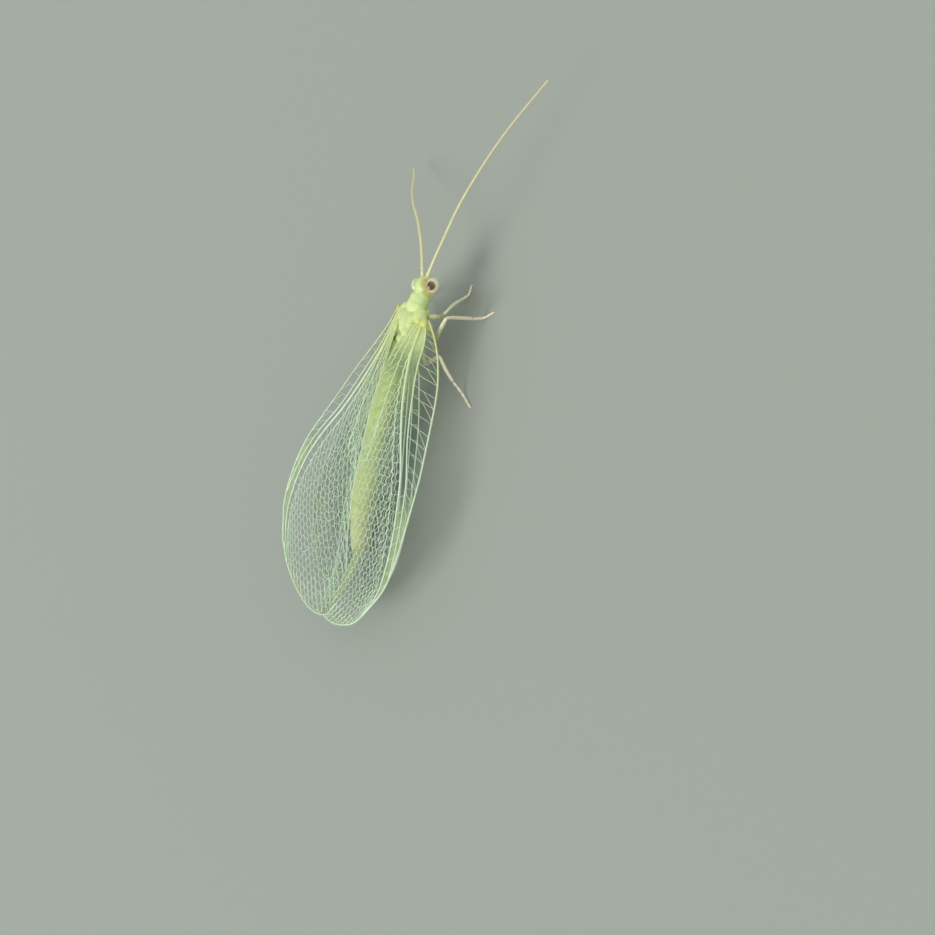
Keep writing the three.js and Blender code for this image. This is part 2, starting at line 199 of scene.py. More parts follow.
class Shader:
    # A material's nodes; each function adds one and returns what it gives
    def __init__(self, name, **sockets):
        # An underscore in a socket's name stands for a space
        self.material = bpy.data.materials.new(name)
        self.material.use_nodes = True
        self.nodes = self.material.node_tree.nodes
        self.links = self.material.node_tree.links
        self.surface = self.nodes["Principled BSDF"]
        for socket, value in sockets.items():
            self.surface.inputs[socket.replace("_", " ")].default_value = value

    def put(self, kind, inputs=(), **settings):
        # Inputs are linked to what other nodes give, or set to plain values
        node = self.nodes.new("ShaderNode" + kind)
        for key, value in settings.items():
            setattr(node, key, value)
        for socket, value in dict(inputs).items():
            if isinstance(value, bpy.types.NodeSocket):
                self.links.new(value, node.inputs[socket])
            else:
                node.inputs[socket].default_value = value
        return node

    def insectPlace(self):
        # Object coordinates turned back into the insect's own millimetres
        coordinates = self.put("TexCoord").outputs["Object"]
        inputs = {"Vector": coordinates, "Scale": (1 / mm,) * 3, "Location": tuple(-insectShift)}
        return self.put("Mapping", inputs).outputs["Vector"]

    def ramp(self, factor, stops, smooth=False):
        # Colours at places from 0 to 1, each stop a place and a colour as seen on screen
        node = self.put("ValToRGB", {"Fac": factor})
        node.color_ramp.interpolation = "EASE" if smooth else "LINEAR"
        elements = node.color_ramp.elements
        while len(elements) < len(stops):
            elements.new(0.5)
        for element, (place, *colour) in zip(elements, stops):
            element.position = place
            element.color = linear(*colour)
        return node.outputs["Color"]

    def sum(self, operation, a, b=0.0, c=0.0):
        # The sum that the operation names, of up to three values
        return self.put("Math", {0: a, 1: b, 2: c}, operation=operation).outputs["Value"]

    def vectors(self, operation, a, b=(0.0, 0.0, 0.0)):
        # Likewise for vectors
        return self.put("VectorMath", {0: a, 1: tuple(b)}, operation=operation).outputs

    def between(self, value, low, high, start=0.0, end=1.0, curve="SMOOTHSTEP"):
        # From start at low to end at high, by 3 t² - 2 t³ or straight
        inputs = {"Value": value, "From Min": low, "From Max": high, "To Min": start, "To Max": end}
        return self.put("MapRange", inputs, interpolation_type=curve).outputs["Result"]

    def tint(self, ground, factor, colour):
        # ground (1 - factor) + colour factor, the colour given as seen on screen or by a node
        if isinstance(colour, tuple):
            colour = linear(*colour)
        return self.put("Mix", {0: factor, 6: ground, 7: colour}, data_type="RGBA").outputs[2]

    def noise(self, vector, scale, detail=3.0, roughness=0.5):
        # Cloudy noise around 0.5, scale waves to a millimetre
        inputs = {"Vector": vector, "Scale": scale, "Detail": detail, "Roughness": roughness}
        return self.put("TexNoise", inputs).outputs["Fac"]

    def bump(self, height, strength, distance):
        # The surface's direction, leaned by a height's slope
        inputs = {"Height": height, "Strength": strength, "Distance": distance}
        self.feed("Normal", self.put("Bump", inputs).outputs["Normal"])

    def feed(self, socket, output):
        # What a node gives, into the surface
        self.links.new(output, self.surface.inputs[socket])


# Camera, as the photo sees the insect, turned with it down to the floor
cameraSettings = {
    "place": (34.759, 6.79, 30.475),
    "right": (0.5905, 0.3495, -0.7274),
    "down": (0.4131, -0.9052, -0.0996),
    "focal": 1200.0,  # pixels, in a frame of 935
    "frame": 935.0,
    "sensor": 36.0,
    "clip": (0.001, 10.0),
}


def makeCamera():
    # Its axes: right, up = minus down less what of it runs along right, and back = right x up
    data = bpy.data.cameras.new("camera")
    camera = addObject("camera", data)
    right = unit(np.array(cameraSettings["right"]))
    upward = -np.array(cameraSettings["down"])
    upward = unit(upward - right * (upward @ right))
    axes = np.column_stack([right, upward, np.cross(right, upward), toPart(cameraSettings["place"])])
    camera.matrix_world = Matrix([*axes.tolist(), [0, 0, 0, 1]])
    data.sensor_width = cameraSettings["sensor"]
    data.lens = cameraSettings["focal"] / cameraSettings["frame"] * cameraSettings["sensor"]
    data.clip_start, data.clip_end = cameraSettings["clip"]
    bpy.context.scene.camera = camera


makeCamera()
print("camera placed")


# Body: round forms that melt into one skin
skinSettings = {
    "voxel": 0.026,
    "smoothing": 7,
    # Heights of the body's middle line, [ahead, up]
    "line": [[2.2, 1.8], [0, 1.87], [-1.5, 1.9], [-3.1, 1.83], [-5.5, 1.43],
             [-7.3, 1.12], [-8.6, 0.7], [-9.3, 0.45], [-9.8, 0.38]],
    # Each pair is a place or width along the abdomen, 0 to 1, and a share of its radius
    "abdomen": {"start": -1.3, "end": -9.2, "radius": 0.47, "segments": 8, "swell": 0.045,
                "dip": (0.055, 0.085), "waist": (0.1, 0.2), "taper": (0.75, 0.2), "full": (0.15, 0.13)},
    "tail": {"start": -9.05, "end": -9.65, "wide": 0.38, "high": 0.42},
    "neck": {"start": 1.34, "end": 0.86, "wide": 0.38, "high": 0.32, "lift": 0.06},
    # Centre, radii and boxiness of the thorax's forms: collar, its front, its underside, middle
    # and rear thorax, each with a raised plate behind
    "thorax": [((0, 0.74, 1.98), (0.4, 0.36, 0.33), 0.85), ((0, 1.02, 1.97), (0.39, 0.3, 0.31), 0.9),
               ((0, 0.56, 1.66), (0.34, 0.3, 0.36), 1.0), ((0, 0.04, 1.86), (0.56, 0.6, 0.54), 0.9),
               ((0, -0.6, 2.16), (0.26, 0.2, 0.2), 1.0), ((0, -1.0, 1.84), (0.52, 0.45, 0.5), 0.9),
               ((0, -1.36, 2.0), (0.28, 0.2, 0.22), 1.0)],
    # Centre, radii and turn at both sides: front and rear lobes of the middle thorax, lobe of the
    # rear thorax, shoulder, wing's socket, hindwing's socket, flanks
    "thoraxSides": [((0.23, 0.2, 2.18), (0.26, 0.34, 0.21), 0),
                    ((0.25, -0.28, 2.18), (0.21, 0.26, 0.22), 0),
                    ((0.22, -0.95, 2.12), (0.24, 0.28, 0.22), 0),
                    ((0.42, 0.46, 2.0), (0.34, 0.3, 0.26), -35),
                    ((0.7, 0.36, 2.0), (0.27, 0.18, 0.13), -30),
                    ((0.6, 0.34, 2.16), (0.14, 0.16, 0.1), 0),
                    ((0.48, -0.85, 2.0), (0.2, 0.28, 0.15), 20),
                    ((0.34, 0.05, 1.5), (0.24, 0.3, 0.34), 0),
                    ((0.34, -0.85, 1.48), (0.22, 0.3, 0.32), 0)],
    # Centre, radii and tilt of the head's forms: capsule, crown, brow, face, its plate, the lip
    # and the nape
    "head": [((0, 0, 0), (0.42, 0.39, 0.38), 0), ((0, 0.04, 0.14), (0.36, 0.35, 0.31), 0),
             ((0, 0.26, 0.1), (0.27, 0.16, 0.19), 0), ((0, 0.16, -0.13), (0.29, 0.18, 0.27), 6),
             ((0, 0.22, -0.29), (0.2, 0.1, 0.12), 10), ((0, 0.16, -0.4), (0.14, 0.08, 0.08), 0),
             ((0, -0.32, 0.1), (0.34, 0.26, 0.28), 0)],
    # Likewise at both sides: cheek, feeler's socket, swelling behind the eye, jaw, palp of two parts
    "headSides": [((0.24, 0.04, -0.18), (0.19, 0.22, 0.2), 0),
                  ((0.15, 0.36, 0.15), (0.11, 0.1, 0.085), 30),
                  ((0.22, -0.18, 0.0), (0.2, 0.2, 0.24), 0),
                  ((0.12, 0.16, -0.38), (0.08, 0.08, 0.12), 0),
                  ((0.1, 0.14, -0.46), (0.042, 0.042, 0.09), 0),
                  ((0.11, 0.15, -0.55), (0.036, 0.036, 0.07), 0)],
    # Place and colour of the skin from tail to head
    "colours": [(0.0, 204, 176, 138), (0.035, 216, 198, 150), (0.075, 226, 226, 158),
                (0.3, 220, 234, 150), (0.6, 206, 230, 142), (0.74, 190, 208, 142),
                (0.84, 186, 204, 130), (0.92, 190, 216, 146), (1.0, 186, 200, 132)],
    "mottle": (214, 228, 158),
    "grain": (168, 192, 122),
    "middleLine": (214, 218, 150),
    "sideLine": (220, 222, 166),
    "hinge": (204, 200, 116),
    # Place on the head, colour, radii where it is full and where it ends, strength: olive beside
    # each eye and behind the right one, brown on the cheeks, cream round the feelers
    "spots": [((0.28, 0.06, 0.24), (172, 160, 92), 0.12, 0.34, 0.85),
              ((-0.3, 0.06, 0.22), (178, 188, 120), 0.1, 0.26, 0.5),
              ((0.28, -0.26, 0.16), (176, 166, 92), 0.1, 0.28, 0.8),
              ((0.36, 0.26, -0.16), (142, 108, 58), 0.06, 0.2, 0.8),
              ((-0.36, 0.26, -0.16), (142, 108, 58), 0.06, 0.2, 0.8),
              ((0.0, 0.42, 0.16), (214, 208, 158), 0.14, 0.32, 0.85)],
}


def roundForm(centre, radii, turn=0.0, tilt=0.0, power=1.0, rows=26, columns=40, onHeadFrame=False):
    # Ball squeezed to three radii; a power under 1 makes it boxier, over 1 more pointed.
    # Tilted about its own X, turned about Z, then moved to its centre.
    down = np.linspace(0.02, math.pi - 0.02, rows)[:, None]
    around = np.linspace(0, 2 * math.pi, columns, endpoint=False)[None]
    bent = lambda wave: np.sign(wave) * np.abs(wave) ** power
    x = np.sin(down) ** power * bent(np.cos(around)) * radii[0]
    y = np.sin(down) ** power * bent(np.sin(around)) * radii[1]
    z = bent(np.cos(down)) * radii[2] + 0 * around
    lean = math.radians(tilt)
    y, z = y * math.cos(lean) - z * math.sin(lean), y * math.sin(lean) + z * math.cos(lean)
    swing = math.radians(turn)
    x, y = x * math.cos(swing) - y * math.sin(swing), x * math.sin(swing) + y * math.cos(swing)
    points = np.stack([x, y, z], -1).reshape(-1, 3) + np.asarray(centre)
    if onHeadFrame:
        points = onHead(points)
    points = np.concatenate([points, points[:columns].mean(0)[None], points[-columns:].mean(0)[None]])
    quads, triangles = ringFaces(rows, columns)
    return points, quads[:, ::-1], triangles[:, ::-1]


def loft(y, wide, high, lift=0.0, sides=40):
    # Ellipse carried along the body's middle line, square to it
    path = np.stack([0 * y, y, smoothValue(skinSettings["line"], y) + lift], -1)
    side = np.broadcast_to([1.0, 0, 0], path.shape)
    over = unit(np.cross(side, unit(np.gradient(path, axis=0))))
    angle = np.linspace(0, 2 * math.pi, sides, endpoint=False)[None, :, None]
    points = path[:, None] + np.cos(angle) * side[:, None] * np.asarray(wide)[:, None, None]
    points = points + np.sin(angle) * over[:, None] * np.asarray(high)[:, None, None]
    points = np.concatenate([points.reshape(-1, 3), path[:1], path[-1:]])
    return points, *ringFaces(len(path), sides)


def abdomenShape():
    # Radius along the abdomen, all multiplied: a waist that widens over its first tenth, segments
    # that swell by a sine and dip by exp(-(t / width)²) at their joints, a taper (t^1.5) to the
    # blunt tail and a fuller middle (sine^1.2)
    abdomen = skinSettings["abdomen"]
    share = np.linspace(0, 1, 260)
    joint = (share * abdomen["segments"]) % 1.0
    width, depth = abdomen["dip"]
    dip = np.exp(-((np.minimum(joint, 1 - joint)) / width) ** 2)
    swell = 1 + abdomen["swell"] * np.sin(math.pi * joint) - depth * dip
    end, depth = abdomen["waist"]
    waist = 1 - depth + depth * np.clip(share / end, 0, 1)
    start, depth = abdomen["taper"]
    taper = 1 - depth * np.clip((share - start) / (1 - start), 0, 1) ** 1.5
    start, height = abdomen["full"]
    full = 1 + height * np.sin(math.pi * np.clip((share - start) / (1 - start), 0, 1)) ** 1.2
    radius = abdomen["radius"] * swell * waist * taper * full
    y = abdomen["start"] + (abdomen["end"] - abdomen["start"]) * share
    return loft(y, radius * 0.98, radius)


def tailShape():
    # Last segments: narrowing sideways by a fifth, rounded off at the end by sqrt(1 - t^2.6)
    # sideways and sqrt(1 - t^3.2) in height
    tail = skinSettings["tail"]
    share = np.linspace(0, 1, 60)
    wide = tail["wide"] * np.sqrt(np.clip(1 - share ** 2.6, 0.0005, 1)) * (1 - 0.2 * share)
    high = tail["high"] * np.sqrt(np.clip(1 - share ** 3.2, 0.0005, 1))
    return loft(tail["start"] + (tail["end"] - tail["start"]) * share, wide, high)


def bodyForms():
    # All the forms of the body, overlapping
    neck = skinSettings["neck"]
    forms = [abdomenShape(), tailShape(),
             loft(np.linspace(neck["start"], neck["end"], 20), np.full(20, neck["wide"]),
                  np.full(20, neck["high"]), neck["lift"])]
    for centre, radii, tilt in skinSettings["head"]:
        forms.append(roundForm(centre, radii, tilt=tilt, onHeadFrame=True))
    for centre, radii, power in skinSettings["thorax"]:
        forms.append(roundForm(centre, radii, power=power))
    for side in (-1, 1):
        for (across, ahead, up), radii, tilt in skinSettings["headSides"]:
            forms.append(roundForm((side * across, ahead, up), radii, tilt=tilt, onHeadFrame=True))
        for (across, ahead, up), radii, turn in skinSettings["thoraxSides"]:
            forms.append(roundForm((side * across, ahead, up), radii, turn=side * turn))
    return forms


def skinMaterial():
    # Colours from tail to head, mottled, with lines, hinges and spots laid over them
    shader = Shader("softGreenSkin", Roughness=0.42, IOR=1.45, Subsurface_Weight=0.15,
                    Subsurface_Radius=(0.00012, 0.00016, 0.00006), Subsurface_Scale=1.0)
    place = shader.insectPlace()
    x, y, z = shader.put("SeparateXYZ", {"Vector": place}).outputs
    ground = shader.ramp(shader.between(y, -9.8, 2.2, curve="LINEAR"), skinSettings["colours"])
    mottle = shader.between(shader.noise(place, 2.2, 4.0), 0.35, 0.75)
    ground = shader.tint(ground, mottle, skinSettings["mottle"])
    grain = shader.between(shader.noise(place, 16.0, 3.0, 0.6), 0.45, 0.8, 0.0, 0.35)
    ground = shader.tint(ground, grain, skinSettings["grain"])
    # Pale line down the middle of the back, and one along each side
    wide = shader.sum("ABSOLUTE", x)
    ground = shader.tint(ground, shader.between(wide, 0.16, 0.05, 0.0, 0.55), skinSettings["middleLine"])
    front = shader.between(y, 0.2, -1.6, 0.0, 0.6)
    side = shader.sum("MULTIPLY", shader.between(wide, 0.36, 0.46), front)
    ground = shader.tint(ground, side, skinSettings["sideLine"])
    # Ochre where the wings hinge
    hinge = shader.sum("MULTIPLY", shader.between(wide, 0.34, 0.6), shader.between(z, 1.86, 2.06))
    away = shader.sum("ABSOLUTE", shader.sum("ADD", y, 0.2))
    hinge = shader.sum("MULTIPLY", hinge, shader.between(away, 0.9, 0.4, 0.0, 0.75))
    ground = shader.tint(ground, hinge, skinSettings["hinge"])
    for spot, colour, inner, outer, strength in skinSettings["spots"]:
        away = shader.vectors("DISTANCE", place, onHead(spot))["Value"]
        ground = shader.tint(ground, shader.between(away, outer, inner, 0.0, strength), colour)
    shader.feed("Base Color", ground)
    shader.bump(shader.noise(place, 34.0, 4.0, 0.6), 0.35, 0.00002)
    return shader.material


def makeSkin():
    # The forms are joined in millimetres, remade as one closed skin, smoothed, then put in place
    rough = addObject("skinForms", meshOf("skinForms", joined(bodyForms())))
    remesh = rough.modifiers.new("oneSkin", "REMESH")
    remesh.mode = "VOXEL"
    remesh.voxel_size = skinSettings["voxel"]
    remesh.use_smooth_shade = True
    smooth = rough.modifiers.new("soften", "SMOOTH")
    smooth.iterations = skinSettings["smoothing"]
    smooth.factor = 0.5
    done = rough.evaluated_get(bpy.context.evaluated_depsgraph_get())
    mesh = bpy.data.meshes.new_from_object(done)
    bpy.data.objects.remove(rough)
    points = np.empty(len(mesh.vertices) * 3, np.float32)
    mesh.vertices.foreach_get("co", points)
    points = points.reshape(-1, 3)
    points[:, 2] = np.maximum(points[:, 2], 0.0)
    mesh.vertices.foreach_set("co", toPart(points).astype(np.float32).ravel())
    mesh.name = "bodySkin"
    mesh.materials.clear()
    mesh.materials.append(skinMaterial())
    mesh.polygons.foreach_set("use_smooth", np.ones(len(mesh.polygons), bool))
    skin = addObject("bodySkin", mesh)
    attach(skin, "root")
    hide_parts("head", "prothorax", "mesothorax", "metathorax", "abdomen", "tail_tip")
    print("skin made:", len(mesh.polygons), "faces")


makeSkin()


# Eyes
eyeSettings = {
    "radii": (0.22, 0.29, 0.29),
    "facets": 60.0,
    # Where each side's dark patch faces
    "dark": {-1: (-0.95, 0.15, 0.1), 1: (0.537, -0.1, 0.838)},
    "colours": [(0.0, 186, 202, 150), (0.3, 204, 210, 170), (0.55, 222, 216, 184), (0.76, 222, 206, 172),
                (0.84, 184, 154, 112), (0.9, 126, 94, 60), (0.96, 86, 62, 42), (1.0, 74, 52, 38)],
}


def eyeMaterial(name, centre, side):
    # Colour by the cosine between the way out from the eye's centre and the dark patch's own way
    shader = Shader(name, Roughness=0.22, IOR=1.5, Coat_Weight=0.5, Coat_Roughness=0.1)
    place = shader.insectPlace()
    out = shader.vectors("SUBTRACT", place, centre)["Vector"]
    out = shader.vectors("NORMALIZE", out)["Vector"]
    facing = shader.vectors("DOT_PRODUCT", out, unit(np.array(eyeSettings["dark"][side])))["Value"]
    wobble = shader.sum("MULTIPLY_ADD", shader.noise(place, 7.0), 0.12, facing)
    shader.feed("Base Color", shader.ramp(wobble, eyeSettings["colours"]))
    cells = shader.put("TexVoronoi", {"Vector": place, "Scale": eyeSettings["facets"]})
    shader.bump(cells.outputs["Distance"], 0.25, 0.00001)
    return shader.material


def makeEyes():
    # A ball each, turned with the head
    for name, centre, side in (("Left", eyeLeft, -1), ("Right", eyeRight, 1)):
        shape = roundForm(centre, eyeSettings["radii"], turn=headPlace["turn"], rows=40, columns=64)
        material = eyeMaterial("eyeGloss" + name, centre, side)
        addPiece("eye" + name, shape, material, ["eye_" + name.lower()])
    print("eyes made")


makeEyes()


# Hairs: thin cones on a surface, leaning
def hairs(roots, towards, lengths, thickness):
    # Each hair leaves its root along its own direction, thinning to a point
    towards = unit(towards)
    paths = roots[:, None] + towards[:, None] * lengths[:, None, None] * np.linspace(0, 1, 4)[:, None]
    radii = thickness * np.array([1.0, 0.8, 0.5, 0.12])
    steady = unit(np.cross(towards, np.array([0.31, 0.52, 0.79])))
    return manyTubes(paths, radii, steady[:, None], 3)


def addHairs(name, groups, thickness, material):
    # Groups of (roots, directions, lengths, places on the unwrap) as one piece. On its bake map each
    # hair is a patch 0.003 across at its root's place, the groups side by side.
    roots, towards, lengths = (np.concatenate([group[i] for group in groups]) for i in range(3))
    places = [(group[3] + (k, 0)) / (len(groups), 1) for k, group in enumerate(groups)]
    shape = hairs(roots, towards, lengths, thickness)
    piece = addPiece(name, shape, material)
    each = len(shape[0]) // len(roots)
    corner = np.arange(each)
    patch = np.stack([corner % 3, corner // 3], -1) / (3, each / 3) * 0.003
    spots = (np.concatenate(places)[:, None] + patch).reshape(-1, 2)
    vertices = np.empty(len(piece.data.loops), np.int32)
    piece.data.loops.foreach_get("vertex_index", vertices)
    layer = piece.data.uv_layers.new(name="OFBake")
    layer.data.foreach_set("uv", spots[vertices].astype(np.float32).ravel())


def limbMaterial(name, base, tip, reach):
    # From the base's colour at the body to the tip's at its reach from there, mottled
    shader = Shader(name, Roughness=0.45, IOR=1.45, Subsurface_Weight=0.1,
                    Subsurface_Radius=(0.0001, 0.0001, 0.00005), Subsurface_Scale=1.0)
    place = shader.insectPlace()
    away = shader.vectors("DISTANCE", place, (0, 0.5, 1.8))["Value"]
    far = shader.between(away, 0.8, reach, curve="LINEAR")
    colour = shader.ramp(far, [(0.0, *base), (1.0, *tip)])
    mottle = shader.between(shader.noise(place, 12.0, 3.0), 0.4, 0.8, 0.0, 0.4)
    shader.feed("Base Color", shader.tint(colour, mottle, (192, 182, 132)))
    shader.bump(shader.noise(place, 60.0, 3.0), 0.3, 0.00001)
    return shader.material


# Legs
legSettings = {
    "fore": [[0.3, 0.5, 1.5], [0.41, 0.6, 1.16], [0.46, 0.62, 1.02], [1.08, 0.98, 1.42],
             [0.54, 1.46, 0.5], [0.4, 1.72, 0.07], [0.34, 2.02, 0.045]],
    "mid": [[0.34, 0.1, 1.46], [0.44, -0.14, 1.06], [0.52, -0.28, 0.93], [1.74, 0.9, 1.88],
            [1.55, 1.07, 0.45], [1.66, 1.22, 0.07], [2.0, 1.54, 0.045]],
    "hind": [[0.34, -0.8, 1.46], [0.42, -1.12, 1.06], [0.48, -1.28, 0.93], [1.31, -0.63, 1.2],
             [1.72, -1.42, 0.45], [2.1, -1.76, 0.07], [2.62, -2.0, 0.045]],
    # Full radius, share of it at the ends, and bow as a share of the length
    "hip": (0.115, 0.7, 0.0), "ring": (0.09, 0.85, 0.0), "thigh": (0.082, 0.62, 0.02),
    "shin": (0.062, 0.8, 0.05), "foot": (0.046, 0.72, 0.0),
    "footParts": 5,
    "claw": {"length": 0.1, "radius": 0.016, "spread": 0.6, "droop": 0.028},
    # Knee, ankle, sole and toe of the left legs that aren't the right ones mirrored
    "left": {
        "fore": [[-1.2, 0.75, 1.3], [-1.6, 0.89, 0.45], [-1.76, 0.98, 0.07], [-2.04, 1.12, 0.045]],
        "mid": [[-2.0, 0.08, 1.1], [-2.45, 0.02, 0.45], [-2.6, -0.02, 0.07], [-2.88, -0.1, 0.045]],
    },
    "hairsPerMillimetre": 60,
    "hairLength": (0.06, 0.11),
    "sides": 12,
    "base": (206, 208, 164),
    "tip": (230, 220, 194),
}


def spindle(share, full, ends):
    # Radius of a limb's stretch: full in its middle, ends as a share of that, rounded off to a point
    body = ends + (1 - ends) * np.sin(math.pi * np.clip(share, 0, 1)) ** 0.6
    cap = np.sqrt(np.clip(1 - (np.abs(share - 0.5) * 2) ** 24, 0.01, 1))
    return full * body * cap


def legStretches(pair, side):
    # The leg's straight stretches as (start, end, radius, ends, bow), its tip and where it points
    stops = [np.array(stop) * (side, 1, 1) for stop in legSettings[pair]]
    if side < 0 and pair in legSettings["left"]:
        stops[3:] = [np.array(stop) for stop in legSettings["left"][pair]]
    names = ("hip", "ring", "thigh", "shin")
    stretches = [(a, b, *legSettings[name]) for a, b, name in zip(stops, stops[1:], names)]
    # The foot runs from the ankle over its sole to the toe, in equal parts
    run = splineAt(stops[4:], np.linspace(0, 1, legSettings["footParts"] + 1))
    run[1:, 2] = np.maximum(run[1:, 2], legSettings["foot"][0])
    stretches.extend((a, b, *legSettings["foot"]) for a, b in zip(run, run[1:]))
    return stretches, run[-1], unit(run[-1] - run[-2])


def legShape(pair, side, chance):
    # A spindle on each stretch, raised by its bow times sin(pi t); then claws, pad and hairs
    stretches, tip, ahead = legStretches(pair, side)
    share = np.linspace(0, 1, 22)
    starts, ends = (np.array([stretch[i] for stretch in stretches]) for i in (0, 1))
    paths = starts[:, None] + (ends - starts)[:, None] * share[None, :, None]
    bows = np.array([stretch[4] for stretch in stretches]) * np.linalg.norm(ends - starts, axis=1)
    paths[..., 2] += bows[:, None] * np.sin(math.pi * share)
    radii = np.array([spindle(share, full, thin) for _, _, full, thin, _ in stretches])
    over = np.array([side * 0.9, 0.2, 0.1])
    parts = [manyTubes(paths, radii, over, legSettings["sides"])]
    claw = legSettings["claw"]
    across = unit(np.cross(ahead, [0, 0, 1.0])) * claw["spread"]
    t = np.linspace(0, 1, 8)[:, None]
    claws = [tip + unit(ahead + across * turn) * claw["length"] * t - (0, 0, claw["droop"]) * t ** 2
             for turn in (-1, 1)]
    parts.append(manyTubes(claws, claw["radius"] * (1 - 0.85 * t[:, 0]), [0.1, 0.1, 1], 6))
    pad = tip + ahead * 0.05 + np.array([0, 0, -0.015])
    parts.append(roundForm(pad, (0.03, 0.04, 0.02), rows=8, columns=10))
    # Short hairs all round, leaning to the foot
    grown = []
    for k, (a, b, radius, _, bowed) in enumerate(stretches[2:]):
        run = np.linalg.norm(b - a)
        count = max(4, int(run * legSettings["hairsPerMillimetre"]))
        share = chance.uniform(0.06, 0.96, count)
        angle = chance.uniform(0, 2 * math.pi, count)
        forward = unit(b - a)
        out = squareTo(forward, over, angle)
        roots = a + (b - a) * share[:, None] + out * radius * 0.75
        roots[:, 2] += bowed * run * np.sin(math.pi * share)
        keep = roots[:, 2] + out[:, 2] * 0.1 > 0.02
        lean = out * 0.75 + forward * 0.8
        places = np.stack([(k + share) / len(stretches), angle / 7], -1)
        lengths = chance.uniform(*legSettings["hairLength"], keep.sum())
        grown.append((roots[keep], lean[keep], lengths, places[keep]))
    return joined(parts), [np.concatenate(part) for part in zip(*grown)]


def makeLegs():
    # Three pairs, and the hairs of all six as one piece
    chance = np.random.default_rng(7)
    material = limbMaterial("creamLimb", legSettings["base"], legSettings["tip"], 2.6)
    hairGroups = []
    for pair in ("fore", "mid", "hind"):
        for name, side in (("Left", -1), ("Right", 1)):
            shape, grown = legShape(pair, side, chance)
            node = "leg_" + pair + "_" + name.lower()
            addPiece(pair + "Leg" + name, shape, material, [node])
            hairGroups.append(grown)
    addHairs("legHairs", hairGroups, 0.0045, material)
    print("legs made")


makeLegs()


# Feelers
feelerSettings = {
    "left": [[-0.24, 1.83, 1.97], [-0.33, 2.1, 2.05], [-0.97, 2.95, 2.02], [-1.86, 3.65, 1.85],
             [-2.88, 4.08, 1.5], [-3.74, 4.49, 1.1], [-4.38, 4.95, 0.75], [-4.85, 5.25, 0.55]],
    "right": [[0.03, 1.92, 1.97], [0.16, 2.2, 2.09], [0.42, 3.18, 2.22], [0.75, 5.1, 2.25],
              [1.3, 7.5, 2.0], [2.1, 9.87, 1.6]],
    "radii": (0.062, 0.034),
    "beads": 76,
    "ringsPerBead": 5,
    "beadDip": 0.84,
    # Radius, middle and half length of the two thick joints
    "joints": [(0.078, 0.13, 0.13), (0.066, 0.34, 0.07)],
    "hairsPerBead": 9,
    "hairLength": (0.05, 0.08),
    "base": (214, 214, 164),
    "end": (216, 202, 160),
}


def feelerShape(name, chance):
    # Radius along a feeler: a thread of beads that dip where they meet and thin by share^0.8, and
    # over it each thick joint, its radius times exp(-((run - middle) / half length)^4)
    settings = feelerSettings
    fine = splineAt(settings[name], np.linspace(0, 1, 4000))
    run = np.concatenate([[0], np.cumsum(np.linalg.norm(np.diff(fine, axis=0), axis=1))])
    length = run[-1]
    perBead = settings["ringsPerBead"]
    steps = settings["beads"] * perBead
    away = np.linspace(0, length, steps + 1)
    path = np.stack([np.interp(away, run, fine[:, i]) for i in range(3)], -1)
    share = away / length
    thick, thin = settings["radii"]
    radius = thick + (thin - thick) * share ** 0.8
    radius = radius * np.where(np.arange(steps + 1) % perBead == 0, settings["beadDip"], 1.0)
    for full, middle, width in settings["joints"]:
        radius = np.maximum(radius, full * np.exp(-((away - middle) / width) ** 4))
    radius[-1] *= 0.3
    over = np.array([0.0, 0.1, 1.0])
    tube = manyTubes(path[None], radius[None], over, 10)
    # Fine hairs round each bead, leaning to the tip
    beads = np.repeat(np.arange(4, settings["beads"]), settings["hairsPerBead"])
    where = (beads + chance.uniform(0, 1, len(beads))) * perBead
    at = np.minimum(where.astype(int), steps - 1)
    forward = unit(np.gradient(path, axis=0))[at]
    angle = chance.uniform(0, 2 * math.pi, len(beads))
    out = squareTo(forward, over, angle)
    roots = path[at] + out * (radius[at] * 0.85)[:, None]
    places = np.stack([share[at], angle / 7], -1)
    lengths = chance.uniform(*settings["hairLength"], len(beads))
    return tube, (roots, out * 0.6 + forward * 0.9, lengths, places)


def makeFeelers():
    # Two feelers, and the hairs of both as one piece
    chance = np.random.default_rng(11)
    material = limbMaterial("feelerCream", feelerSettings["base"], feelerSettings["end"], 9.0)
    hairGroups = []
    for name in ("left", "right"):
        shape, grown = feelerShape(name, chance)
        addPiece("feeler" + name.title(), shape, material, ["antenna_" + name])
        hairGroups.append(grown)
    addHairs("feelerHairs", hairGroups, 0.003, material)
    print("feelers made")


makeFeelers()


# Wings. Each is a patch between four edges seen from above, raised to its height:
# along runs 0 to 1 from root to tip, across 0 to 1 from the front edge to the back edge.
foreHeights = {
    "margin": [[0.5, 2.02], [0.2, 1.87], [-0.4, 1.67], [-1.2, 1.57], [-3, 1.66], [-5, 1.83],
               [-6, 1.95], [-9, 1.96], [-10, 1.9], [-12.4, 1.78]],
    "inner": [[0.3, 2.28], [-0.6, 2.44], [-1.4, 2.53], [-2.4, 2.58], [-3.5, 2.6], [-4.7, 2.54],
              [-7, 2.24], [-8.5, 1.92], [-10, 1.5], [-12.4, 1.28]],
}
hindHeights = {
    "margin": [[-0.9, 1.9], [-1.4, 1.72], [-2.5, 1.54], [-5, 1.36], [-8, 1.16], [-10, 0.96],
               [-11.5, 0.8]],
    "inner": [[-0.9, 2.0], [-1.6, 2.02], [-2.5, 2.0], [-5, 1.74], [-8, 1.16], [-10, 0.7], [-11.5, 0.6]],
}
foreFront = [[0.92, 0.48], [1.2, 0.1], [1.58, -0.5], [2.07, -1.42], [2.52, -2.5], [2.93, -3.75],
             [3.36, -5.1], [3.7, -6.45], [3.85, -7.85], [3.74, -9.25], [3.1, -10.65]]
